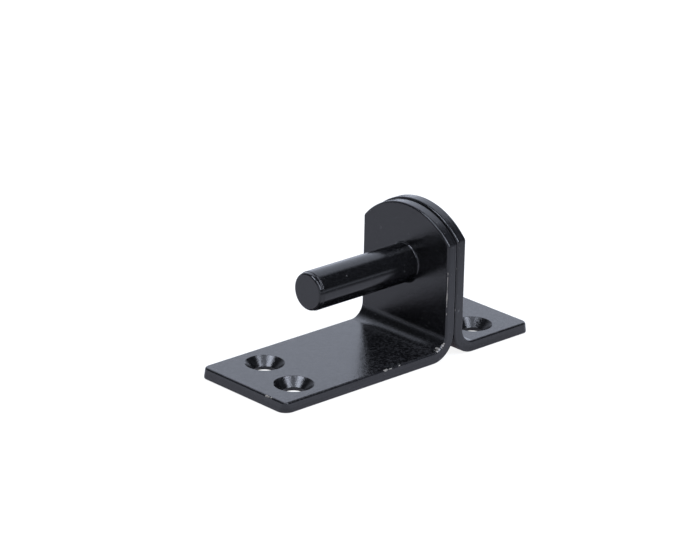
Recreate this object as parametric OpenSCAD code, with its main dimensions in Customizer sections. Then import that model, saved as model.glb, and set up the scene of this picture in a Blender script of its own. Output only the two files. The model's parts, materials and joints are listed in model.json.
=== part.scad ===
// Screw-on hinge pin: a stepped round pin riveted through two flat-bar angle brackets that stand back to back.
// Millimetres. The legs' undersides lie at z = 0, the pin points along -X and the bar's width runs along Y.
// The origin is the middle of the bounding box's bottom face.

/* [Flat bar] */
// Width of the flat bar that both brackets are bent from
bar_w = 40; // [34:1:50]
// Thickness of the flat bar
bar_t = 4; // [3.5:0.5:6]
// Inside radius of the bend between a leg and its upright
bend_in_r = 5; // [3:0.5:8]
// Radius of the rounded corners at a leg's free end, seen from above
corner_r = 1.8; // [0.6:0.1:5]

/* [Legs] */
// Length of the front leg, from the face where the brackets meet to the leg's free end
front_leg_l = 74; // [60:1:120]
// Length of the rear leg, from the face where the brackets meet to the leg's free end
rear_leg_l = 35; // [32:0.5:60]

/* [Uprights] */
// Height of an upright's straight sides above the base
side_h = 39.7; // [38:0.1:50]
// Height of the bowed top above the ends of the straight sides
crown_h = 9.2; // [5:0.1:12]
// How much taller the rear upright is than the front one
rear_extra_h = 0.6; // [0:0.1:2]

/* [Screw holes] */
// Distance between the two holes of a leg, measured across the bar
screw_gauge = 19; // [17:0.5:20]
// Distance from the front leg's free end to the middle of its pair of holes
front_setback = 15.5; // [12:0.5:16]
// Distance from the rear leg's free end to its two holes
rear_setback = 16; // [12:0.5:16]
// Distance along the front leg between its two holes
screw_stagger = 4.5; // [0:0.5:8]
// Diameter of a screw hole below its countersink
screw_d = 7.5; // [6.5:0.1:8]
// Diameter of the countersink at the leg's top face
sink_d = 13.2; // [10:0.1:13.4]
// Angle of the countersink's cone
sink_angle = 90; // [90:1:120]

/* [Hinge pin] */
// Diameter of the hinge pin
pin_d = 13; // [12:0.5:16]
// Length of the pin that stands out of the front upright
pin_l = 43; // [30:0.5:60]
// Height of the pin's axis above the base
pin_axis_h = 28.8; // [26:0.1:32]
// Length of the tapered lead-in at the pin's free end
lead_l = 1.7; // [0.5:0.1:3]
// How much the lead-in takes off the pin's radius
lead_w = 0.8; // [0.3:0.1:2]
// Radius of the fillet at the pin's foot, against the front upright
foot_r = 0.8; // [0.4:0.1:1.5]

/* [Riveted end] */
// Diameter of the reduced shank that passes through both uprights
shank_d = 10; // [8:0.5:11]
// Difference between the diameter of the uprights' hole and the shank
shank_clearance = 0.1; // [0.05:0.05:0.3]
// Diameter of the peened head behind the rear upright
head_d = 15; // [13:0.5:17]
// Height of the peened head's straight rim
head_rim_h = 0.7; // [0.3:0.1:1.5]
// Height of the peened head's dome above its rim
head_dome_h = 1.6; // [0.5:0.1:3]

/* [Hidden] */

// Facets to a full turn
$fn = 96;
// Steps along each short arc of the pin's outline
arc_steps = 8;
// How far a cutter runs past the face that it opens
overcut = 1;

// Place along X of the face where the two brackets meet
joint_x = (front_leg_l - rear_leg_l) / 2;
bend_out_r = bend_in_r + bar_t;
crown_r = arc_radius(bar_w / 2, crown_h);
grip = 2 * bar_t;
sink_depth = (sink_d - screw_d) / 2 / tan(sink_angle / 2);

// The two halves of the bar's width
sides = [1, -1];

// Radius of the arc that rises by h over a half chord a
function arc_radius(a, h) = (a * a + h * h) / (2 * h);

// Points of a concave fillet of radius r, from the upright's face round to the pin's surface
function foot_points(r) = [
    for (i = [0 : arc_steps])
        let (a = 90 * i / arc_steps)
            [pin_d / 2 + r * (1 - sin(a)), r * (1 - cos(a))]
];

// Points of the head's dome, from its rim to its crown
function dome_points(a, h) = let (r = arc_radius(a, h), span = asin(a / r)) [
    for (i = [0 : arc_steps])
        let (turn = span * (1 - i / arc_steps))
            [r * sin(turn), -grip - head_rim_h - h + r * (1 - cos(turn))]
];

// A leg's blank, lying along +X from the bend to a free end with rounded corners
module leg_blank(length) {
    translate([bend_out_r, -bar_w / 2, 0]) cube([length - corner_r - bend_out_r, bar_w, bar_t]);
    translate([length - corner_r, corner_r - bar_w / 2, 0]) cube([corner_r, bar_w - 2 * corner_r, bar_t]);
    for (side = sides)
        translate([length - corner_r, side * (bar_w / 2 - corner_r), 0]) cylinder(r = corner_r, h = bar_t);
}

// The quarter turn between a leg and its upright
module bend() {
    translate([bend_out_r, 0, bend_out_r])
        intersection() {
            rotate([90, 0, 0]) difference() {
                cylinder(r = bend_out_r, h = bar_w, center = true);
                cylinder(r = bend_in_r, h = bar_w + 2 * overcut, center = true);
            }
            translate([-bend_out_r, -bar_w / 2, -bend_out_r]) cube([bend_out_r, bar_w, bend_out_r]);
        }
}

// An upright with straight sides up to the height given and a bowed top over them
module upright(straight_h) {
    top_h = straight_h + crown_h;
    intersection() {
        translate([0, -bar_w / 2, bend_out_r]) cube([bar_t, bar_w, top_h - bend_out_r]);
        union() {
            translate([-overcut, -bar_w, 0]) cube([bar_t + 2 * overcut, 2 * bar_w, straight_h]);
            translate([-overcut, 0, top_h - crown_r])
                rotate([0, 90, 0]) cylinder(r = crown_r, h = bar_t + 2 * overcut, $fn = 2 * $fn);
        }
    }
}

// One screw hole with its countersink opening upwards
module screw_hole() {
    cone_top_d = sink_d + 2 * overcut * tan(sink_angle / 2);
    translate([0, 0, -overcut]) cylinder(d = screw_d, h = bar_t + overcut);
    translate([0, 0, bar_t - sink_depth]) cylinder(d1 = screw_d, d2 = cone_top_d, h = sink_depth + overcut);
}

// A bracket whose leg lies along +X and whose upright's outer face is at x = 0
module bracket(length, straight_h, setback, stagger) {
    difference() {
        union() {
            leg_blank(length);
            bend();
            upright(straight_h);
        }
        for (side = sides)
            translate([length - setback - side * stagger / 2, side * screw_gauge / 2, 0]) screw_hole();
        translate([-overcut, 0, pin_axis_h])
            rotate([0, 90, 0]) cylinder(d = shank_d + shank_clearance, h = bar_t + 2 * overcut);
    }
}

module front_bracket() {
    color([0.10, 0.10, 0.11])
        translate([joint_x, 0, 0]) mirror([1, 0, 0]) bracket(front_leg_l, side_h, front_setback, screw_stagger);
}

module rear_bracket() {
    color([0.12, 0.12, 0.13])
        translate([joint_x, 0, 0]) bracket(rear_leg_l, side_h + rear_extra_h, rear_setback, 0);
}

// The pin's outline is drawn along its axis from its shoulder, which seats on the front upright
module pin() {
    outline = concat(
        [[0, pin_l], [pin_d / 2 - lead_w, pin_l], [pin_d / 2, pin_l - lead_l]],
        [for (i = [arc_steps : -1 : 0]) foot_points(foot_r)[i]],
        [[shank_d / 2, 0], [shank_d / 2, -grip], [head_d / 2, -grip]],
        dome_points(head_d / 2, head_dome_h)
    );
    color([0.09, 0.09, 0.10])
        translate([joint_x - bar_t, 0, pin_axis_h])
            rotate([0, -90, 0]) rotate_extrude() polygon(outline);
}

front_bracket();
rear_bracket();
pin();
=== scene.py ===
"""Looks of a screw-on hinge pin: two black-painted flat-bar brackets and the pin that rivets them together.

Metres throughout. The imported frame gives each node's place and outer size. Every piece here has the same
shape with rounded edges and a worn paint finish, and stands for its node.
"""

import json
import logging
import math
from dataclasses import dataclass
from enum import Enum
from typing import Sequence

import bpy
from bpy.types import Material, Mesh, Node, NodeSocket, NodeTree, Object
from mathutils import Matrix, Vector
from mathutils.geometry import tessellate_polygon


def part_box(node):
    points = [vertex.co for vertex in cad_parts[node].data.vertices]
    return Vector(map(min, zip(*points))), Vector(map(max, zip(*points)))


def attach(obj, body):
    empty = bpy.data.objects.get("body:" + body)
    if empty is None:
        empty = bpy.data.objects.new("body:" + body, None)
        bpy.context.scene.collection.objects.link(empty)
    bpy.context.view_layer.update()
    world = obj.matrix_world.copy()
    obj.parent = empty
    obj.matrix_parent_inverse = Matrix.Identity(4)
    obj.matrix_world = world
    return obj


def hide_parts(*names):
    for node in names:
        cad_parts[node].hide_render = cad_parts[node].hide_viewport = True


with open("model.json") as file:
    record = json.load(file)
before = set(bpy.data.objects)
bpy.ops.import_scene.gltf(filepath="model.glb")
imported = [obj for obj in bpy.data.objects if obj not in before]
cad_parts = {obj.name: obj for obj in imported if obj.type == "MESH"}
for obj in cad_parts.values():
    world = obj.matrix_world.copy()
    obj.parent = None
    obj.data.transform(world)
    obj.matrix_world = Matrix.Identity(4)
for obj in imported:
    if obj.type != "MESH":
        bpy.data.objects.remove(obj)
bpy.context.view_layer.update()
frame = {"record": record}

LOG = logging.getLogger("hinge_pin")
MM = 0.001
# How close together the lathe's points lie that are welded to one
WELD = 0.001 * MM
Colour = tuple[float, float, float, float]
Pair = tuple[float, float]
Triple = tuple[float, float, float]
# The kind of socket for each type of value
SOCKET_KINDS = {float: "Float", int: "Int", tuple: "Vector"}
# Names of what each point of a mesh keeps about itself
FACING = "facing"
BAR_PLACE = "bar_place"
EDGE = "edge"
HAMMERED = "hammered"
SIDE = "side"


class Way(Enum):
    """The way along X in which a bracket's leg points."""

    FRONT = -1
    REAR = 1


def grey(level: float) -> Colour:
    """A plain grey."""
    return (level, level, level, 1.0)


def millimetres(*sizes: float) -> tuple[float, ...]:
    """Sizes in millimetres as metres."""
    return tuple(size * MM for size in sizes)


# Node trees


class Wire:
    """A number that a node puts out, so that formulas are written as plain arithmetic."""

    def __init__(self, tree: NodeTree, socket: NodeSocket) -> None:
        """Holds the socket and the tree that it lies in."""
        self.tree = tree
        self.socket = socket

    def do(self, operation: str, *others: "Wire | float") -> "Wire":
        """Places a Math node on this number.

        Args:
            operation: The Math node's operation.
            others: The node's other inputs, as wires or plain numbers.

        Returns:
            The node's result.
        """
        node = self.tree.nodes.new("ShaderNodeMath")
        node.operation = operation
        for place, value in zip(node.inputs, (self, *others)):
            plug(self.tree, place, value)
        return Wire(self.tree, node.outputs[0])

    def __add__(self, other: "Wire | float") -> "Wire":
        """This number plus another."""
        return self.do("ADD", other)

    def __sub__(self, other: "Wire | float") -> "Wire":
        """This number less another."""
        return self.do("SUBTRACT", other)

    def __mul__(self, other: "Wire | float") -> "Wire":
        """This number times another."""
        return self.do("MULTIPLY", other)

    def __truediv__(self, other: "Wire | float") -> "Wire":
        """This number over another."""
        return self.do("DIVIDE", other)

    def __neg__(self) -> "Wire":
        """This number with its sign turned."""
        return self.do("MULTIPLY", -1.0)

    def mapped(self, kind: str, ends: dict[str, "Wire | float"]) -> "Wire":
        """Places a Map Range node on this number.

        Args:
            kind: The node's interpolation.
            ends: The ends of its ranges by name. Those not given are 0 and 1.

        Returns:
            The node's result.
        """
        node = self.tree.nodes.new("ShaderNodeMapRange")
        node.interpolation_type = kind
        for name, value in {"Value": self, **ends}.items():
            plug(self.tree, node.inputs[name], value)
        return Wire(self.tree, node.outputs["Result"])

    def ramp(self, start: "Wire | float", end: "Wire | float") -> "Wire":
        """A smooth step from 0 at start to 1 at end."""
        return self.mapped("SMOOTHSTEP", {"From Min": start, "From Max": end})

    def between(self, low: "Wire | float", high: "Wire | float") -> "Wire":
        """This number, from 0 to 1, spread between low and high."""
        return self.mapped("LINEAR", {"To Min": low, "To Max": high})


def plug(tree: NodeTree, place: NodeSocket, value: object) -> None:
    """Links a wire, a socket or a node's first output into an input, or writes a plain value on it.

    Args:
        tree: The tree that the input lies in.
        place: The input.
        value: The wire, socket, node or plain value.
    """
    if isinstance(value, Wire):
        tree.links.new(value.socket, place)
    elif isinstance(value, NodeSocket | Node):
        tree.links.new(value.outputs[0] if isinstance(value, Node) else value, place)
    else:
        place.default_value = value


class Graph:
    """One node tree while it is built, for geometry, a shader group, a material or the world."""

    def __init__(self, tree: NodeTree) -> None:
        """Holds the tree."""
        self.tree = tree

    @classmethod
    def group(cls, name: str, inputs: dict[str, object], output: str) -> "Graph":
        """Starts a node group with named sockets.

        Args:
            name: The group's name.
            inputs: Each input's value, or its socket's kind where it has none.
            output: The output's name: Geometry for a geometry tree, or else a number's in a shader group.

        Returns:
            The graph of the new group.
        """
        shapes = output == "Geometry"
        graph = cls(bpy.data.node_groups.new(name, "GeometryNodeTree" if shapes else "ShaderNodeTree"))
        face = graph.tree.interface
        for label, value in inputs.items():
            kind = SOCKET_KINDS.get(type(value), value)
            socket = face.new_socket(label, in_out="INPUT", socket_type="NodeSocket" + kind)
            if kind is not value:
                socket.default_value = value
        kind = "Geometry" if shapes else "Float"
        face.new_socket(output, in_out="OUTPUT", socket_type="NodeSocket" + kind)
        graph.given = graph.tree.nodes.new("NodeGroupInput")
        graph.result = graph.tree.nodes.new("NodeGroupOutput")
        return graph

    def node(self, kind: str, inputs: dict | None = None, **settings: object) -> Node:
        """Adds a node.

        Args:
            kind: The node's type.
            inputs: Values or wires for its inputs, by name or number.
            settings: Its own settings.

        Returns:
            The node.
        """
        node = self.tree.nodes.new(kind)
        for label, value in settings.items():
            setattr(node, label, value)
        for label, value in (inputs or {}).items():
            plug(self.tree, node.inputs[label], value)
        return node

    def wire(self, node: Node, output: str | int = 0) -> Wire:
        """One of a node's outputs as a number."""
        return Wire(self.tree, node.outputs[output])

    def input(self, name: str) -> Wire:
        """One of the group's own inputs."""
        return Wire(self.tree, self.given.outputs[name])

    def ended(self, value: object) -> NodeTree:
        """Feeds the group's output and gives back its tree."""
        plug(self.tree, self.result.inputs[0], value)
        return self.tree

    def split(self, vector: object) -> tuple[Wire, Wire, Wire]:
        """The three numbers of a vector."""
        node = self.node("ShaderNodeSeparateXYZ", {"Vector": vector})
        return self.wire(node, 0), self.wire(node, 1), self.wire(node, 2)

    def join(self, x: object, y: object, z: object) -> Wire:
        """A vector from three numbers."""
        return self.wire(self.node("ShaderNodeCombineXYZ", {0: x, 1: y, 2: z}))

    def vector(self, operation: str, first: object, second: object, output: int = 0) -> Wire:
        """A Vector Math node's result."""
        node = self.node("ShaderNodeVectorMath", {0: first, 1: second}, operation=operation)
        return self.wire(node, output)

    def scaled(self, vector: object, factor: object) -> Wire:
        """A vector times a number."""
        return self.wire(self.node("ShaderNodeVectorMath", {0: vector, "Scale": factor}, operation="SCALE"))

    def noise(self, place: object, scale: object, detail: float = 2.0) -> Wire:
        """Noise from 0 to 1, with its scale in lumps to a metre."""
        node = self.node("ShaderNodeTexNoise", {"Vector": place, "Scale": scale, "Detail": detail})
        return self.wire(node, "Factor" if "Factor" in node.outputs else "Fac")

    def blend(self, factor: object, first: object, second: object) -> Wire:
        """A colour that goes from first to second with the factor."""
        return self.wire(self.node("ShaderNodeMix", {0: factor, 6: first, 7: second}, data_type="RGBA"), 2)


# Mesh building


@dataclass(frozen=True)
class Station:
    """One point of a section: its place, the way it faces, and how far it is round an edge, from 0 to 1."""

    place: Vector
    facing: Vector
    edge: float = 0.0


@dataclass(frozen=True)
class Spoke:
    """Where a section stands in a plan: its origin, its first axis, and its shift to a unit of height."""

    origin: Vector
    direction: Vector
    lean: Pair = (0.0, 0.0)


def rounded(corners: Sequence[tuple], radii: Sequence[float], steps: int) -> list[Station]:
    """Rounds the inner corners of a section that faces right of the way it runs.

    Args:
        corners: The section's corners, in order.
        radii: The radius for each corner apart from the first and the last.
        steps: Steps along each rounding.

    Returns:
        The points of the roundings. The straight stretches lie between them.
    """
    points = [Vector(corner) for corner in corners]
    stations = []
    for before, corner, after, radius in zip(points, points[1:], points[2:], radii):
        arriving, leaving = (corner - before).normalized(), (after - corner).normalized()
        turn = math.atan2(arriving.x * leaving.y - arriving.y * leaving.x, arriving.dot(leaving))
        start = corner - arriving * radius * math.tan(abs(turn) / 2)
        side = math.copysign(1.0, turn)
        centre = start + Vector((-arriving.y, arriving.x)) * radius * side
        for step in range(steps + 1):
            angle = turn * step / steps
            way = Matrix.Rotation(angle, 2) @ arriving
            facing = Vector((way.y, -way.x))
            place = centre + facing * radius * side
            stations.append(Station(place, facing, math.sin(math.pi * step / steps)))
    return stations


def arc(centre: tuple, radius: float, start: float, end: float, steps: int) -> list[Spoke]:
    """Spokes along a round stretch of a plan, pointing at its centre.

    Args:
        centre: The middle of the arc.
        radius: Its radius.
        start: The angle where it starts, in radians.
        end: The angle where it ends.
        steps: Steps along it.

    Returns:
        The spokes, both ends included.
    """
    spokes = []
    for step in range(steps + 1):
        angle = start + (end - start) * step / steps
        out = Vector((math.cos(angle), math.sin(angle)))
        spokes.append(Spoke(Vector(centre) + out * radius, -out))
    return spokes


class Shell:
    """The points of a closed surface, what each of them keeps about itself, and the faces between them."""

    def __init__(self) -> None:
        """Starts with nothing."""
        self.points: list[Vector] = []
        self.facings: list[Vector] = []
        self.marks: dict[str, list[float]] = {EDGE: [], SIDE: []}
        self.faces: list[tuple[int, ...]] = []

    def row(self, spokes: Sequence[Spoke], station: Station, cut: float) -> list[int]:
        """Adds a row of points, one on each spoke.

        Args:
            spokes: Where the section stands, seen from above.
            station: The section's point.
            cut: 1 on a drilled surface, 0 on a rolled one.

        Returns:
            The numbers of the new points.
        """
        first = len(self.points)
        for spoke in spokes:
            lean = Vector(spoke.lean)
            plan = spoke.origin + spoke.direction * station.place.x + lean * station.place.y
            rise = station.facing.y + lean.dot(spoke.direction) * abs(station.facing.x)
            self.points.append(Vector((*plan, station.place.y)))
            self.facings.append(Vector((*(spoke.direction * station.facing.x), rise)).normalized())
            self.marks[EDGE].append(station.edge)
            self.marks[SIDE].append(abs(station.facing.x) * (1.0 - cut))
        return list(range(first, len(self.points)))

    def wall(self, spokes: Sequence[Spoke], stations: Sequence[Station], cut: float = 0.0) -> list[list[int]]:
        """Adds a wall that closes on itself.

        Args:
            spokes: The wall's plan.
            stations: The wall's section, from its upper rim to its lower rim.
            cut: 1 on a drilled surface, 0 on a rolled one.

        Returns:
            The rows of points, from the upper rim to the lower rim.
        """
        rows = [self.row(spokes, station, cut) for station in stations]
        for upper, lower in zip(rows, rows[1:]):
            for a, b, c, d in zip(upper, lower, lower[1:] + lower[:1], upper[1:] + upper[:1]):
                self.faces.append((a, b, c, d))
        return rows

    def fill(self, loops: Sequence[Sequence[int]], up: bool) -> None:
        """Closes a flat area with triangles.

        Args:
            loops: The area's outline, and then the rims of its holes.
            up: Whether the area faces up.
        """
        order = [point for loop in loops for point in loop]
        areas = [[self.points[point] / MM for point in loop] for loop in loops]
        for triangle in tessellate_polygon(areas):
            a, b, c = (order[corner] for corner in triangle)
            across = (self.points[b] - self.points[a]).cross(self.points[c] - self.points[a]).z
            self.faces.append((a, b, c) if (across > 0) == up else (a, c, b))

    def mesh(self, name: str) -> Mesh:
        """Makes the mesh, with what its points keep as its attributes.

        Args:
            name: The mesh's name.

        Returns:
            The mesh.
        """
        mesh = bpy.data.meshes.new(name)
        mesh.from_pydata(self.points, [], self.faces)
        write_vectors(mesh, FACING, self.facings)
        write_vectors(mesh, BAR_PLACE, self.points)
        for label, values in self.marks.items():
            mesh.attributes.new(label, "FLOAT", "POINT").data.foreach_set("value", values)
        return mesh


def write_vectors(mesh: Mesh, name: str, vectors: Sequence[Vector]) -> None:
    """Keeps one vector for each point of a mesh."""
    numbers = [number for vector in vectors for number in vector]
    mesh.attributes.new(name, "FLOAT_VECTOR", "POINT").data.foreach_set("vector", numbers)


def put_in_scene(name: str, data: bpy.types.ID) -> Object:
    """Makes an object of its data and puts it in the scene.

    Args:
        name: The object's name.
        data: Its mesh, lamp or camera.

    Returns:
        The object.
    """
    made = bpy.data.objects.new(name, data)
    bpy.context.scene.collection.objects.link(made)
    return made


def shape(node: str, source: Mesh, tree: NodeTree, sizes: dict) -> Object:
    """Runs a geometry tree on a mesh, keeps the result as a plain piece and puts it in its node's place.

    Args:
        node: The node that the piece stands for.
        source: The mesh that the tree starts from.
        tree: The geometry tree.
        sizes: The tree's inputs by name.

    Returns:
        The piece, with its place in its mesh and its exact normals.
    """
    name = node + "_painted"
    holder = put_in_scene(name + "_source", source)
    modifier = holder.modifiers.new("shape", "NODES")
    modifier.node_group = tree
    for socket in tree.interface.items_tree:
        if socket.name in sizes and socket.in_out == "INPUT":
            modifier[socket.identifier] = sizes[socket.name]
    depsgraph = bpy.context.evaluated_depsgraph_get()
    evaluated = holder.evaluated_get(depsgraph)
    mesh = bpy.data.meshes.new_from_object(evaluated, preserve_all_data_layers=True, depsgraph=depsgraph)
    mesh.name = name
    bpy.data.objects.remove(holder)
    bpy.data.meshes.remove(source)
    facings = [0.0] * (3 * len(mesh.vertices))
    mesh.attributes[FACING].data.foreach_get("vector", facings)
    mesh.attributes.remove(mesh.attributes[FACING])
    mesh.shade_smooth()
    mesh.normals_split_custom_set_from_vertices(list(zip(*[iter(facings)] * 3)))
    piece = put_in_scene(name, mesh)
    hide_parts(node)
    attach(piece, "root")
    LOG.info("%s: %d points, %d faces", name, len(mesh.vertices), len(mesh.polygons))
    return piece


# Geometry trees


def finished(graph: Graph, geometry: object) -> NodeTree:
    """Ends a geometry tree with Realize Instances and Set Material.

    Args:
        graph: The tree's graph.
        geometry: What the tree has made.

    Returns:
        The tree.
    """
    whole = graph.node("GeometryNodeRealizeInstances", {"Geometry": geometry})
    inputs = {"Geometry": whole, "Material": graph.input("Paint")}
    return graph.ended(graph.node("GeometryNodeSetMaterial", inputs))


def known(graph: Graph, name: str, kind: str) -> Node:
    """What each point keeps under a name."""
    return graph.node("GeometryNodeInputNamedAttribute", {"Name": name}, data_type=kind)


def store(graph: Graph, geometry: object, name: str, value: Wire, kind: str) -> Node:
    """Keeps a number or a vector on each point under a name."""
    inputs = {"Geometry": geometry, "Name": name, "Value": value}
    return graph.node("GeometryNodeStoreNamedAttribute", inputs, data_type=kind, domain="POINT")


def bend_tree() -> NodeTree:
    """A tree that bends a flat blank to an L.

    In the blank, X runs along the bar from the leg's free end to the upright's top, with the bend's start
    at 0, and Z goes from the outer face of the bend to the inner face.

    Returns:
        The tree.
    """
    inputs = {"Geometry": "Geometry", "Outer radius": 9 * MM, "Joint face": 0.0, "Way": 1.0,
              "Paint": "Material"}
    graph = Graph.group("bar_bend", inputs, "Geometry")
    radius, way = graph.input("Outer radius"), graph.input("Way")
    along, across, depth = graph.split(graph.node("GeometryNodeInputPosition"))
    turn = (along / radius).do("MAXIMUM", 0.0).do("MINIMUM", math.pi / 2)
    sine, cosine = turn.do("SINE"), turn.do("COSINE")
    reach = radius - depth
    run = radius - reach * sine - along.do("MINIMUM", 0.0)
    rise = radius - reach * cosine + (along - radius * (math.pi / 2)).do("MAXIMUM", 0.0)
    place = graph.join(graph.input("Joint face") + way * run, -(way * across), rise)

    ahead, aside, inward = graph.split(known(graph, FACING, "FLOAT_VECTOR"))
    run_part = sine * inward - cosine * ahead
    rise_part = sine * ahead + cosine * inward
    facing = graph.join(way * run_part, -(way * aside), rise_part)

    stored = store(graph, graph.input("Geometry"), FACING, facing, "FLOAT_VECTOR")
    return finished(graph, graph.node("GeometryNodeSetPosition", {"Geometry": stored, "Position": place}))


def lathe_tree() -> NodeTree:
    """A tree that turns a profile round an axis along X and dents what is hammered.

    The profile's points lie in order in the XZ plane, with Z as the radius.

    Returns:
        The tree.
    """
    inputs = {"Geometry": "Geometry", "Steps": 144, "Axis height": 0.0, "Dent depth": 0.1 * MM,
              "Dents to a metre": 500.0, "Paint": "Material"}
    graph = Graph.group("profile_lathe", inputs, "Geometry")
    profile, steps = graph.input("Geometry"), graph.input("Steps")
    count = graph.node("GeometryNodeAttributeDomainSize", {"Geometry": profile}, component="MESH")
    seam = graph.node("FunctionNodeIntegerMath", {0: steps, 1: 1}, operation="ADD")
    grid = graph.node("GeometryNodeMeshGrid", {"Vertices X": count.outputs["Point Count"],
                                               "Vertices Y": seam})
    number = graph.wire(graph.node("GeometryNodeInputIndex"))
    row = (number / graph.wire(seam)).do("FLOOR")
    angle = (row * graph.wire(seam) - number) / steps * math.tau
    sine, cosine = angle.do("SINE"), angle.do("COSINE")

    def sampled(source: object, kind: str) -> Wire:
        """What the profile's point of this row keeps."""
        node = graph.node("GeometryNodeSampleIndex", {"Geometry": profile, "Value": source, "Index": row},
                          data_type=kind, domain="POINT")
        return graph.wire(node)

    along, _, radius = graph.split(sampled(graph.node("GeometryNodeInputPosition"), "FLOAT_VECTOR"))
    lean, _, out = graph.split(sampled(known(graph, FACING, "FLOAT_VECTOR"), "FLOAT_VECTOR"))
    edge, hammered = (sampled(known(graph, name, "FLOAT"), "FLOAT") for name in (EDGE, HAMMERED))
    facing = graph.join(lean, out * sine, out * cosine)
    ground = graph.join(along, radius * sine, radius * cosine)
    dents = graph.node("ShaderNodeTexVoronoi", {"Vector": ground, "Scale": graph.input("Dents to a metre")},
                       feature="SMOOTH_F1")
    depth = (graph.wire(dents) - 1.0) * graph.input("Dent depth") * hammered
    dented = graph.vector("ADD", ground, graph.scaled(facing, depth))
    place = graph.vector("ADD", dented, graph.join(0.0, 0.0, graph.input("Axis height")))
    exact = graph.scaled(facing, hammered.do("LESS_THAN", 0.5))

    stored = store(graph, grid, FACING, exact, "FLOAT_VECTOR")
    stored = store(graph, stored, EDGE, edge, "FLOAT")
    moved = graph.node("GeometryNodeSetPosition", {"Geometry": stored, "Position": place})
    return finished(graph, graph.node("GeometryNodeMergeByDistance", {"Geometry": moved, "Distance": WELD}))


# Shader groups


def peel_group() -> NodeTree:
    """The dimpled skin of sprayed paint.

    Returns:
        The group, which puts out a height from 0 to 1.
    """
    broad_scale, fine_share, broad_share = 0.2, 0.6, 0.4
    graph = Graph.group("orange_peel", {"Place": "Vector", "Dimples to a metre": 1000.0}, "Height")
    place, scale = graph.input("Place"), graph.input("Dimples to a metre")
    fine = graph.noise(place, scale, 1.0)
    broad = graph.noise(place, scale * broad_scale, 1.0)
    return graph.ended(fine * fine_share + broad * broad_share)


def dust_group() -> NodeTree:
    """Specks of dust and small nibs in the paint, thicker in patches.

    Returns:
        The group, which puts out a mask.
    """
    speck_reach, speck_core = (0.08, 0.26), 0.4
    patch_cut, patch_spread = (0.35, 0.65), (0.3, 1.7)
    inputs = {"Place": "Vector", "Specks to a metre": 400.0, "Patches to a metre": 80.0, "Amount": 0.3}
    graph = Graph.group("dust_specks", inputs, "Mask")
    cells = graph.node("ShaderNodeTexVoronoi", {"Vector": graph.input("Place"),
                                                "Scale": graph.input("Specks to a metre")})
    chance, size, _ = graph.split(cells.outputs["Color"])
    reach = size.between(*speck_reach)
    spot = graph.wire(cells, "Distance").ramp(reach, reach * speck_core)
    thick = graph.noise(graph.input("Place"), graph.input("Patches to a metre")).ramp(*patch_cut)
    share = graph.input("Amount") * thick.between(*patch_spread)
    return graph.ended(spot * chance.do("LESS_THAN", share))


def film_group() -> NodeTree:
    """A thin grainy film of dust.

    Returns:
        The group, which puts out a mask.
    """
    film_cut = (0.42, 0.66)
    graph = Graph.group("dust_film", {"Place": "Vector", "Grains to a metre": 1200.0}, "Mask")
    grains = graph.noise(graph.input("Place"), graph.input("Grains to a metre"), 3.0)
    return graph.ended(grains.ramp(*film_cut))


def wear_group() -> NodeTree:
    """Rubbed paint along rounded edges.

    Returns:
        The group, which puts out a mask.
    """
    rubbed_cut = (0.62, 0.72)
    graph = Graph.group("edge_wear", {"Place": "Vector", "Edge": 0.0, "Scale": 300.0}, "Mask")
    rough = graph.noise(graph.input("Place"), graph.input("Scale"), 4.0)
    return graph.ended((graph.input("Edge") * rough).ramp(*rubbed_cut))


def streak_group() -> NodeTree:
    """Fine lines that run along a rolled or sheared surface.

    Returns:
        The group, which puts out a height from 0 to 1.
    """
    inputs = {"Place": "Vector", "Lines to a metre": 1500.0, "Stretch": 30.0}
    graph = Graph.group("rolled_streaks", inputs, "Height")
    along, across, depth = graph.split(graph.input("Place"))
    place = graph.join(along / graph.input("Stretch"), across / graph.input("Stretch"), depth)
    return graph.ended(graph.noise(place, graph.input("Lines to a metre"), 3.0))


def chip_group() -> NodeTree:
    """One ragged chip in the paint.

    Returns:
        The group, which puts out a mask.
    """
    rags_to_a_metre, raggedness, rim = 900.0, 4.0, (1.0, 0.8)
    inputs = {"Place": "Vector", "Centre": "Vector", "Reach": (MM, MM, MM)}
    graph = Graph.group("paint_chip", inputs, "Mask")
    off = graph.vector("SUBTRACT", graph.input("Place"), graph.input("Centre"))
    near = graph.vector("LENGTH", graph.vector("DIVIDE", off, graph.input("Reach")), (0.0, 0.0, 0.0), 1)
    ragged = (graph.noise(graph.input("Place"), rags_to_a_metre, 3.0) - 0.5) * raggedness
    return graph.ended((near + ragged).ramp(*rim))


# Finishes


@dataclass(frozen=True)
class Chip:
    """A chip in the paint: its centre and reach along the bar, across it and through it, in millimetres."""

    centre: Triple
    reach: Triple


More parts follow.
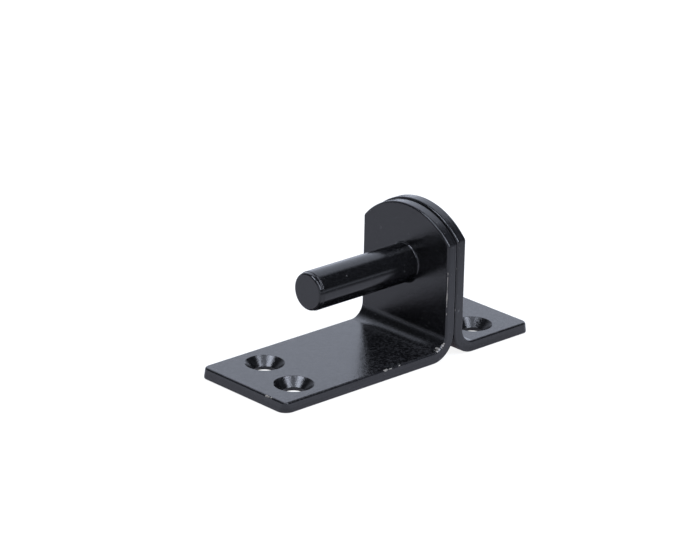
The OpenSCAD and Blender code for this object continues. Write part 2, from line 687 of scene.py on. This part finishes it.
@dataclass(frozen=True)
class Paint:
    """Black semi-gloss paint with what it has picked up: dimples, dust, streaks, rubbed edges and chips."""

    name: str
    colour: Colour = (0.0028, 0.0028, 0.0031, 1.0)
    film_colour: Colour = (0.0180, 0.0180, 0.0185, 1.0)
    dust_colour: Colour = (0.16, 0.16, 0.15, 1.0)
    steel_colour: Colour = (0.29, 0.27, 0.24, 1.0)
    roughness: Pair = (0.15, 0.19)
    steel_roughness: float = 0.6
    peel_height: float = 0.055 * MM
    streak_colour: Colour = (0.010, 0.010, 0.011, 1.0)
    streak_height: float = 0.05 * MM
    streaks_to_a_metre: float = 1300.0
    # Where the film is at full strength: the leg's inner face on a bar and the top of the pin, which come out
    # lighter than the other faces
    film_top_along: Pair = (12 * MM, -2 * MM)
    film_top_depth: Pair = (3.4 * MM, 3.9 * MM)
    film_top_height: Pair = (31 * MM, 36 * MM)
    film_low_share: float = 0.25
    streak_stretch: float = 60.0
    streak_cut: Pair = (0.35, 0.68)
    dimples_to_a_metre: float = 3500.0
    grains_to_a_metre: float = 1100.0
    specks_to_a_metre: float = 1500.0
    speck_amount: float = 0.08
    speck_strength: float = 0.5
    nibs_to_a_metre: float = 330.0
    nib_amount: float = 0.06
    nib_strength: float = 0.25
    dust_roughness: float = 0.2
    wear_to_a_metre: float = 260.0
    clouds_to_a_metre: float = 90.0
    chips: tuple[Chip, ...] = ()

    def build(self, groups: dict[str, NodeTree], on_bar: bool) -> Material:
        """Makes the material.

        Args:
            groups: The shared shader groups by name.
            on_bar: Whether patterns follow the bar through its bend.

        Returns:
            The material.
        """
        material = bpy.data.materials.new(self.name)
        material.use_nodes = True
        graph = Graph(material.node_tree)
        shader = next(node for node in graph.tree.nodes if node.type == "BSDF_PRINCIPLED")
        if on_bar:
            place = graph.node("ShaderNodeAttribute", attribute_name=BAR_PLACE).outputs["Vector"]
            along, _, depth = graph.split(place)
            film_top = along.ramp(*self.film_top_along) * depth.ramp(*self.film_top_depth)
            lines_place = place
            side = graph.wire(graph.node("ShaderNodeAttribute", attribute_name=SIDE), "Fac")
        else:
            place = graph.node("ShaderNodeTexCoord").outputs["Object"]
            along, aside, height = graph.split(place)
            film_top = height.ramp(*self.film_top_height)
            lines_place = graph.join(aside, height, along)
            side = 1.0
        edge = graph.node("ShaderNodeAttribute", attribute_name=EDGE).outputs["Fac"]

        def effect(name: str, inputs: dict) -> Wire:
            """Places one of the shared groups."""
            inputs = {"Place": place, **inputs}
            return graph.wire(graph.node("ShaderNodeGroup", inputs, node_tree=groups[name]))

        peel = effect("peel", {"Dimples to a metre": self.dimples_to_a_metre})
        film = effect("film", {"Grains to a metre": self.grains_to_a_metre})
        # The film is full on the leg's inner face and the pin's top and a quarter as strong elsewhere, so
        # these upward faces come out lighter
        film = film * film_top.between(self.film_low_share, 1.0)
        specks = effect("dust", {"Specks to a metre": self.specks_to_a_metre, "Amount": self.speck_amount})
        nibs = effect("dust", {"Specks to a metre": self.nibs_to_a_metre, "Amount": self.nib_amount})
        dust = (specks * self.speck_strength).do("MAXIMUM", nibs * self.nib_strength)
        worn = effect("wear", {"Edge": edge, "Scale": self.wear_to_a_metre})
        streaks = effect("streak", {"Place": lines_place, "Lines to a metre": self.streaks_to_a_metre,
                                    "Stretch": self.streak_stretch})
        for chip in self.chips:
            sizes = {"Centre": millimetres(*chip.centre), "Reach": millimetres(*chip.reach)}
            worn = worn.do("MAXIMUM", effect("chip", sizes))
        cloud = graph.noise(place, self.clouds_to_a_metre, 3.0)

        rolled = streaks.ramp(*self.streak_cut) * side * float(on_bar)
        filmed = graph.blend(rolled, graph.blend(film, self.colour, self.film_colour), self.streak_colour)
        painted = graph.blend(dust, filmed, self.dust_colour)
        sheen = cloud.between(*self.roughness) + dust * self.dust_roughness
        relief = peel * self.peel_height + streaks * side * self.streak_height
        bump = graph.node("ShaderNodeBump", {"Height": relief, "Distance": 1.0})
        looks = {"Base Color": graph.blend(worn, painted, self.steel_colour), "Metallic": worn,
                 "Roughness": worn.between(sheen, self.steel_roughness), "Normal": bump}
        for label, value in looks.items():
            plug(graph.tree, shader.inputs[label], value)
        return material


# The chips on the front bracket's blank
FRONT_CHIPS = (
    Chip((32.3, -19.84, 3.74), (3.5, 0.11, 0.11)),
    Chip((27.4, -19.84, 3.74), (1.2, 0.19, 0.18)),
    Chip((24.3, -19.82, 3.76), (1, 0.15, 0.15)),
    Chip((21.4, -19.82, 3.76), (0.6, 0.12, 0.12)),
    Chip((7.6, -19.8, 3.75), (1.6, 0.5, 0.4)),
    Chip((4.9, -19.3, 4), (0.6, 1.3, 0.5)),
    Chip((3, -19.5, 3.9), (0.5, 1.2, 0.5)),
    Chip((-15.4, -19.85, 3.75), (0.5, 0.25, 0.2)),
    Chip((-19.3, -19.85, 3.75), (0.9, 0.22, 0.2)),
    Chip((-21.7, -19.8, 3.8), (1.2, 0.5, 0.35)),
    Chip((-64.6, -11.8, 3.7), (0.3, 1.3, 0.3)),
)


# Pieces


@dataclass(frozen=True)
class FlatBar:
    """The flat bar that both brackets are bent from."""

    width: float
    thickness: float = 4 * MM
    bend_radius: float = 9 * MM
    edge_radius: float = 0.75 * MM
    low_corner_radii: Pair = (1.9 * MM, 4.0 * MM)
    high_corner_radii: Pair = (2.3 * MM, 1.2 * MM)
    end_lean: float = 0.1
    crown_corner_radius: float = 1.2 * MM
    edge_steps: int = 4
    corner_steps: int = 10
    crown_steps: int = 56
    bend_steps: int = 28

    def section(self) -> list[Station]:
        """The bar's rounded side, from its inner face to its outer face."""
        corners = [(1, self.thickness), (0, self.thickness), (0, 0), (1, 0)]
        return rounded(corners, [self.edge_radius] * 2, self.edge_steps)

    def side_spoke(self, along: float, side: int) -> Spoke:
        """The spoke at a place along one side of the bar, 1 or -1."""
        return Spoke(Vector((along, side * self.width / 2)), Vector((0, -side)))


@dataclass(frozen=True)
class Hole:
    """A round hole in the blank, with a countersink on the inner face where that has a radius."""

    middle: Pair
    radius: float
    sink_radius: float = 0.0
    rim_radius: float = 0.25 * MM
    rim_steps: int = 4
    steps: int = 96

    def spokes(self) -> list[Spoke]:
        """The hole's plan, run clockwise so that its wall faces the axis."""
        around = arc((0, 0), 1.0, math.tau, math.tau / self.steps, self.steps - 1)
        return [Spoke(Vector(self.middle), -spoke.direction) for spoke in around]

    def section(self, thickness: float) -> list[Station]:
        """The hole's wall, from the bar's inner face to its outer face.

        Args:
            thickness: The bar's thickness.

        Returns:
            The wall's points.
        """
        floor = [(self.radius, 0), (1, 0)]
        if not self.sink_radius:
            corners = [(1, thickness), (self.radius, thickness), *floor]
            return rounded(corners, [self.rim_radius] * 2, self.rim_steps)
        neck = thickness - (self.sink_radius - self.radius)
        corners = [(1, thickness), (self.sink_radius, thickness), (self.radius, neck), *floor]
        return rounded(corners, [self.rim_radius] * 3, self.rim_steps)


@dataclass(frozen=True)
class Bracket:
    """One bent bracket, built as a flat blank and then bent."""

    node: str
    way: Way
    bar: FlatBar
    joint_x: float
    end_x: float
    top_z: float
    crown_rise: float
    screw_places: tuple[Pair, ...]
    screw_radius: float
    sink_radius: float
    pin_height: float
    shank_radius: float

    def along(self, x: float) -> float:
        """Where a place along X lies on the leg's part of the blank."""
        return self.bar.bend_radius - (x - self.joint_x) * self.way.value

    def up(self, z: float) -> float:
        """Where a height lies on the upright's part of the blank."""
        return self.bar.bend_radius * (math.pi / 2 - 1) + z

    def upright_plan(self) -> list[Spoke]:
        """The upright's outline, from the bend's end on one side, over the bowed top, and back.

        Returns:
            Its spokes.
        """
        bar, half = self.bar, self.bar.width / 2
        radius = (half ** 2 + self.crown_rise ** 2) / (2 * self.crown_rise)
        centre = self.up(self.top_z - radius)
        inner, small = radius - bar.crown_corner_radius, bar.crown_corner_radius
        span = math.asin((half - small) / inner)
        corner = centre + inner * math.cos(span)
        start = self.up(bar.bend_radius)
        return [
            bar.side_spoke(start, -1),
            *arc((corner, small - half), small, -math.pi / 2, -span, bar.corner_steps)[:-1],
            *arc((centre, 0), radius, -span, span, bar.crown_steps),
            *arc((corner, half - small), small, span, math.pi / 2, bar.corner_steps)[1:],
            bar.side_spoke(start, 1),
        ]

    def leg_plan(self) -> list[Spoke]:
        """The leg's outline, from the bend's start round the free end and back.

        Returns:
            Its spokes.
        """
        bar = self.bar
        spokes = [bar.side_spoke(0, 1)]
        for low, high in zip(self.end_arcs(bar.low_corner_radii), self.end_arcs(bar.high_corner_radii)):
            lean = (high.origin - low.origin) / bar.thickness + Vector((bar.end_lean, 0))
            spokes.append(Spoke(low.origin, low.direction, tuple(lean)))
        return [*spokes, bar.side_spoke(0, -1)]

    def end_arcs(self, radii: Pair) -> list[Spoke]:
        """The rounded corners of the leg's free end.

        Args:
            radii: The corners' radii, on the two sides of the bar.

        Returns:
            Their spokes.
        """
        spokes = []
        for side, start, radius in zip((1, -1), (math.pi / 2, math.pi), radii):
            centre = (self.along(self.end_x) + radius, side * (self.bar.width / 2 - radius))
            spokes += arc(centre, radius, start, start + math.pi / 2, self.bar.corner_steps)
        return spokes

    def bend_side(self, side: int) -> list[Spoke]:
        """One side of the bend, apart from its ends, from the leg to the upright."""
        steps, length = self.bar.bend_steps, self.up(self.bar.bend_radius)
        return [self.bar.side_spoke(length * step / steps, side) for step in range(1, steps)]

    def holes(self) -> tuple[list[Hole], Hole]:
        """The leg's screw holes, and the upright's hole for the shank."""
        screws = [Hole((self.along(x), -self.way.value * y), self.screw_radius, self.sink_radius)
                  for x, y in self.screw_places]
        return screws, Hole((self.up(self.pin_height), 0.0), self.shank_radius)

    def blank(self) -> Mesh:
        """The flat blank.

        Returns:
            Its mesh.
        """
        shell = Shell()
        upright, leg = self.upright_plan(), self.leg_plan()
        far, near = self.bend_side(1)[::-1], self.bend_side(-1)
        rows = shell.wall([*upright, *far, *leg, *near], self.bar.section())
        screws, shank = self.holes()
        screw_rows = [shell.wall(hole.spokes(), hole.section(self.bar.thickness), 1.0) for hole in screws]
        shank_rows = shell.wall(shank.spokes(), shank.section(self.bar.thickness), 1.0)
        first_leg = len(upright) + len(far)
        last_leg = first_leg + len(leg) - 1
        for end, up in ((0, True), (-1, False)):
            rim = rows[end]
            shell.fill([rim[:len(upright)], shank_rows[end]], up)
            shell.fill([rim[first_leg:last_leg + 1], *(row[end] for row in screw_rows)], up)
            far_side = rim[len(upright) - 1:first_leg + 1]
            near_side = (rim[last_leg:] + rim[:1])[::-1]
            for a, b, c, d in zip(near_side, far_side, far_side[1:], near_side[1:]):
                shell.faces.append((a, b, c, d) if up else (d, c, b, a))
        return shell.mesh(self.node)

    def build(self, tree: NodeTree, paint: Material) -> Object:
        """Bends the blank, paints it and puts it in its node's place."""
        sizes = {"Outer radius": self.bar.bend_radius, "Joint face": self.joint_x,
                 "Way": float(self.way.value), "Paint": paint}
        return shape(self.node, self.blank(), tree, sizes)


@dataclass(frozen=True)
class Pin:
    """The round pin with its tapered free end, foot fillet, shank and peened head."""

    free_end_x: float
    foot_x: float
    rivet_x: float
    head_end_x: float
    axis_height: float
    radius: float
    head_radius: float
    lead_length: float = 1.7 * MM
    lead_drop: float = 0.18 * MM
    step_length: float = 0.3 * MM
    step_round: float = 0.35 * MM
    face_drop: float = 0.35 * MM
    face_round: float = 0.75 * MM
    foot_radius: float = 0.65 * MM
    foot_rim: float = 0.05 * MM
    foot_rim_round: float = 0.02 * MM
    shank_radius: float = 5 * MM
    head_rim: float = 0.7 * MM
    edge_radius: float = 0.15 * MM
    round_steps: int = 5
    dome_steps: int = 26
    turn_steps: int = 160
    dent_depth: float = 0.22 * MM
    dents_to_a_metre: float = 420.0

    def dome(self) -> list[Station]:
        """The hammered dome of the head, from its crown to its rim.

        Returns:
            Its points.
        """
        rise = self.head_end_x - self.rivet_x - self.head_rim
        radius = (self.head_radius ** 2 + rise ** 2) / (2 * rise)
        span = math.asin(self.head_radius / radius)
        centre = Vector((self.head_end_x - radius, 0))
        stations = []
        for step in range(self.dome_steps):
            angle = span * step / self.dome_steps
            facing = Vector((math.cos(angle), math.sin(angle)))
            stations.append(Station(centre + facing * radius, facing))
        return stations

    def profile(self) -> Mesh:
        """The outline from the head's crown to the middle of the free end.

        Returns:
            Its mesh, with X along the axis and Z as the radius.
        """
        foot_out, foot_face = self.radius + self.foot_radius, self.foot_x - self.foot_rim
        lead_foot = self.free_end_x + self.lead_length
        corners = [
            (self.head_end_x, self.head_radius), (self.rivet_x + self.head_rim, self.head_radius),
            (self.rivet_x, self.head_radius), (self.rivet_x, self.shank_radius),
            (self.foot_x, self.shank_radius), (self.foot_x, foot_out), (foot_face, foot_out),
            (foot_face, self.radius), (lead_foot, self.radius),
            (lead_foot - self.step_length, self.radius - self.lead_drop),
            (self.free_end_x, self.radius - self.face_drop), (self.free_end_x, 0),
        ]
        rim = self.foot_rim_round
        radii = [*[self.edge_radius] * 4, rim, rim, self.foot_radius - rim,
                 self.step_round, self.step_round, self.face_round]
        dome = self.dome()
        turned = rounded(corners[1:], radii[1:], self.round_steps)
        end = Station(Vector(corners[-1]), Vector((-1, 0)))
        stations = [*dome, *turned, end]
        mesh = bpy.data.meshes.new("pin_profile")
        mesh.from_pydata([(s.place.x, 0, s.place.y) for s in stations],
                         [(i, i + 1) for i in range(len(stations) - 1)], [])
        write_vectors(mesh, FACING, [Vector((s.facing.x, 0, s.facing.y)) for s in stations])
        hammered = [float(number < len(dome)) for number in range(len(stations))]
        for label, values in ((EDGE, [s.edge for s in stations]), (HAMMERED, hammered)):
            mesh.attributes.new(label, "FLOAT", "POINT").data.foreach_set("value", values)
        return mesh

    def build(self, tree: NodeTree, paint: Material) -> Object:
        """Turns the profile, paints it and puts it in its node's place."""
        sizes = {"Steps": self.turn_steps, "Axis height": self.axis_height, "Dent depth": self.dent_depth,
                 "Dents to a metre": self.dents_to_a_metre, "Paint": paint}
        return shape("pin", self.profile(), tree, sizes)


# Studio


@dataclass(frozen=True)
class Glow:
    """A soft bright area of the room round the object, by its direction and its reach in degrees."""

    azimuth: float
    elevation: float
    inner: float
    outer: float
    level: float


@dataclass(frozen=True)
class Softbox:
    """A flat lamp that faces the object, with its direction in degrees."""

    name: str
    azimuth: float
    elevation: float
    width: float
    height: float
    level: float
    distance: float = 1.6


def direction(azimuth: float, elevation: float) -> Vector:
    """The unit vector at an azimuth from +X towards +Y and an elevation above the floor, both in degrees."""
    turn, lift = math.radians(azimuth), math.radians(elevation)
    return Vector((math.cos(turn) * math.cos(lift), math.sin(turn) * math.cos(lift), math.sin(lift)))


@dataclass(frozen=True)
class Studio:
    """The room: a dark ceiling with soft bright areas, two softboxes and a white floor with a painted pool of
    light that only reflections show.
    """

    tint: Triple = (0.93, 1.0, 1.18)
    target: Triple = (0, 0, 25 * MM)
    ceiling: float = 0.06
    below: float = 0.95
    horizon: Pair = (0.20, -0.04)
    glow_foot: Pair = (-0.10, 0.06)
    glows: tuple[Glow, ...] = (
        Glow(36, 30, 25, 39, 1.18),
        Glow(78, 48, 8, 26, 1.05),
        Glow(84, 12, 12, 30, 0.45),
        Glow(-145, 2, 22, 48, 0.7),
        Glow(-130, 68, 10, 24, 1.8),
    )
    softboxes: tuple[Softbox, ...] = (
        Softbox("softbox_left", 167, 62, 0.66, 0.62, 10.0),
        Softbox("softbox_right", -79, 42, 0.62, 1.4, 8.8),
    )
    floor_radius: float = 3.0
    floor_steps: int = 96
    floor_drop: float = 0.05 * MM
    floor_glow: float = 0.88
    floor_matt: Colour = grey(0.20)
    # Painted pool of light on the floor for glossy rays: its middle, where it fades out, the floor's matt
    # colour inside and past it, and a painted glow inside it, so reflections show a darker floor farther out
    light_pool_middle: Pair = (-0.15, 0.15)
    light_pool_edge: Pair = (0.30, 0.42)
    floor_matt_in_light_pool: Colour = grey(0.48)
    floor_matt_past_light_pool: Colour = grey(0.15)
    light_pool_glow: Colour = (0.12, 0.10, 0.12, 1.0)
    floor_unseen: Colour = grey(0.8)

    def light_world(self) -> None:
        """Sets up the room's light, with plain white behind for the camera."""
        world = bpy.data.worlds.new("studio")
        bpy.context.scene.world = world
        world.use_nodes = True
        graph = Graph(world.node_tree)
        graph.tree.nodes.clear()
        way = graph.node("ShaderNodeTexCoord").outputs["Generated"]
        _, _, height = graph.split(way)
        level = height.ramp(*self.horizon).between(self.ceiling, self.below)
        above = height.ramp(*self.glow_foot)
        for glow in self.glows:
            middle = direction(glow.azimuth, glow.elevation)
            facing = graph.vector("DOT_PRODUCT", way, tuple(middle), 1)
            edge, core = math.cos(math.radians(glow.outer)), math.cos(math.radians(glow.inner))
            level = level + facing.ramp(edge, core) * above * glow.level
        colour = graph.join(*(level * part for part in self.tint))
        room = graph.node("ShaderNodeBackground", {"Color": colour, "Strength": 1.0})
        white = graph.node("ShaderNodeBackground", {"Color": grey(1.0), "Strength": 1.0})
        seen = graph.node("ShaderNodeLightPath").outputs["Is Camera Ray"]
        mixed = graph.node("ShaderNodeMixShader", {0: seen, 1: room, 2: white})
        graph.node("ShaderNodeOutputWorld", {"Surface": mixed})

    def hang_softboxes(self) -> None:
        """Hangs the lamps so that they face the target."""
        for box in self.softboxes:
            lamp = bpy.data.lights.new(box.name, "AREA")
            lamp.shape = "RECTANGLE"
            lamp.size = box.width
            lamp.size_y = box.height
            lamp.energy = box.level * math.pi * box.width * box.height
            lamp.color = self.tint
            holder = put_in_scene(box.name, lamp)
            out = direction(box.azimuth, box.elevation)
            turn = out.to_track_quat("Z", "Y").to_matrix().to_4x4()
            holder.matrix_world = Matrix.Translation(Vector(self.target) + out * box.distance) @ turn
            holder.visible_camera = False

    def lay_floor(self) -> None:
        """Lays a white floor that keeps a faint shadow and has a painted pool of light round one spot, seen
        only by glossy rays.
        """
        rim = arc((0, 0), self.floor_radius, 0, math.tau, self.floor_steps)[:-1]
        mesh = bpy.data.meshes.new("floor")
        mesh.from_pydata([(*spoke.origin, -self.floor_drop) for spoke in rim], [], [tuple(range(len(rim)))])
        floor = put_in_scene("floor", mesh)
        material = bpy.data.materials.new("floor_white")
        material.use_nodes = True
        graph = Graph(material.node_tree)
        graph.tree.nodes.clear()
        path = graph.node("ShaderNodeLightPath")
        glossy = graph.wire(path, "Is Glossy Ray")
        across, aside, _ = graph.split(graph.node("ShaderNodeTexCoord").outputs["Object"])
        across, aside = across - self.light_pool_middle[0], aside - self.light_pool_middle[1]
        # Painted pool of light: glossy rays see a brighter, glowing floor round one spot and a darker floor
        # farther out
        past_light_pool = (across * across + aside * aside).do("SQRT").ramp(*self.light_pool_edge)
        lit = graph.blend(past_light_pool, self.floor_matt_in_light_pool, self.floor_matt_past_light_pool)
        shade = graph.blend(glossy, self.floor_matt, lit)
        matt = graph.node("ShaderNodeBsdfDiffuse", {"Color": shade})
        pool_glow = graph.blend(past_light_pool, self.light_pool_glow, grey(0.0))
        tone = graph.blend(glossy, grey(self.floor_glow), pool_glow)
        glow = graph.node("ShaderNodeEmission", {"Color": tone, "Strength": 1.0})
        seen = graph.wire(path, "Is Camera Ray") + glossy + graph.wire(path, "Is Transmission Ray")
        seen = seen.do("MINIMUM", 1.0)
        bare = graph.node("ShaderNodeBsdfDiffuse", {"Color": self.floor_unseen})
        bright = graph.node("ShaderNodeAddShader", {0: matt, 1: glow})
        mixed = graph.node("ShaderNodeMixShader", {0: seen, 1: bare, 2: bright})
        graph.node("ShaderNodeOutputMaterial", {"Surface": mixed})
        mesh.materials.append(material)


@dataclass(frozen=True)
class Viewpoint:
    """The camera: where it aims, from how far, and its angles in degrees."""

    aim: Triple = (-2.807 * MM, 6.42 * MM, 25 * MM)
    distance: float = 1079.81 * MM
    heading: float = 46.694
    downward: float = 20.902
    roll: float = 1.243
    focal_pixels: float = 3325.022
    image_width: int = 700
    sensor_width: float = 36.0

    def place(self) -> None:
        """Makes the camera and sets it as the scene's."""
        data = bpy.data.cameras.new("camera")
        data.sensor_fit = "HORIZONTAL"
        data.sensor_width = self.sensor_width
        data.lens = self.sensor_width * self.focal_pixels / self.image_width
        camera = put_in_scene("camera", data)
        back = -direction(self.heading, -self.downward)
        turn = back.to_track_quat("Z", "Y").to_matrix() @ Matrix.Rotation(math.radians(self.roll), 3, "Z")
        camera.matrix_world = Matrix.Translation(Vector(self.aim) + back * self.distance) @ turn.to_4x4()
        bpy.context.scene.camera = camera


# The object


@dataclass(frozen=True)
class HingePin:
    """The whole object, with the sizes that the frame doesn't hold."""

    crown_rise: float = 9.2 * MM
    screw_gauge: float = 19 * MM
    front_stagger: float = 4.5 * MM
    sink_radius: float = 6.6 * MM
    shank_clearance: float = 0.05 * MM

    def screw_places(self, mount: dict, stagger: float) -> tuple[Pair, ...]:
        """The places of a leg's two holes, from their mount and how far they are out of line."""
        x, y, _ = mount["pos_m"]
        return tuple((x + side * stagger / 2, y + side * self.screw_gauge / 2) for side in (1, -1))

    def build(self) -> None:
        """Builds and dresses every piece."""
        mounts = {mount["name"]: mount for mount in frame["record"]["mounts"]}
        groups = {"peel": peel_group(), "film": film_group(), "dust": dust_group(), "wear": wear_group(),
                  "streak": streak_group(), "chip": chip_group()}
        low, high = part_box("front_bracket")
        rear_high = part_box("rear_bracket")[1]
        pin_low, pin_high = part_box("pin")
        bar = FlatBar(width=high.y - low.y)
        joint_x = high.x
        axis_height = mounts["hinge_pin"]["pos_m"][2]
        pin = Pin(free_end_x=pin_low.x, foot_x=joint_x - bar.thickness, rivet_x=joint_x + bar.thickness,
                  head_end_x=pin_high.x, axis_height=axis_height,
                  radius=mounts["hinge_pin"]["dims"]["r_mm"] * MM, head_radius=(pin_high.y - pin_low.y) / 2)
        bend, lathe = bend_tree(), lathe_tree()
        for name, way, end_x, top_z, stagger, chips in (
                ("front_bracket", Way.FRONT, low.x, high.z, self.front_stagger, FRONT_CHIPS),
                ("rear_bracket", Way.REAR, rear_high.x, rear_high.z, 0.0, ())):
            bar_paint = Paint(name.replace("bracket", "paint"), chips=chips).build(groups, on_bar=True)
            mount = mounts[name.replace("bracket", "screw_holes")]
            Bracket(node=name, way=way, bar=bar, joint_x=joint_x, end_x=end_x, top_z=top_z,
                    crown_rise=self.crown_rise, screw_places=self.screw_places(mount, stagger),
                    screw_radius=mount["dims"]["hole_r_mm"] * MM, sink_radius=self.sink_radius,
                    pin_height=axis_height, shank_radius=pin.shank_radius + self.shank_clearance,
                    ).build(bend, bar_paint)
        turned = Paint("pin_paint", colour=(0.0024, 0.0024, 0.0027, 1.0), roughness=(0.10, 0.13),
                       film_colour=(0.0090, 0.0090, 0.0095, 1.0), peel_height=0.012 * MM,
                       streak_height=0.018 * MM, streaks_to_a_metre=4000.0)
        pin.build(lathe, turned.build(groups, on_bar=False))


def main() -> None:
    """Builds the object, the studio and the camera."""
    logging.basicConfig(level=logging.INFO, format="%(message)s")
    HingePin().build()
    studio = Studio()
    studio.light_world()
    studio.hang_softboxes()
    studio.lay_floor()
    Viewpoint().place()
    bpy.context.scene.view_settings.view_transform = "Standard"


if __name__ == "__main__":
    main()
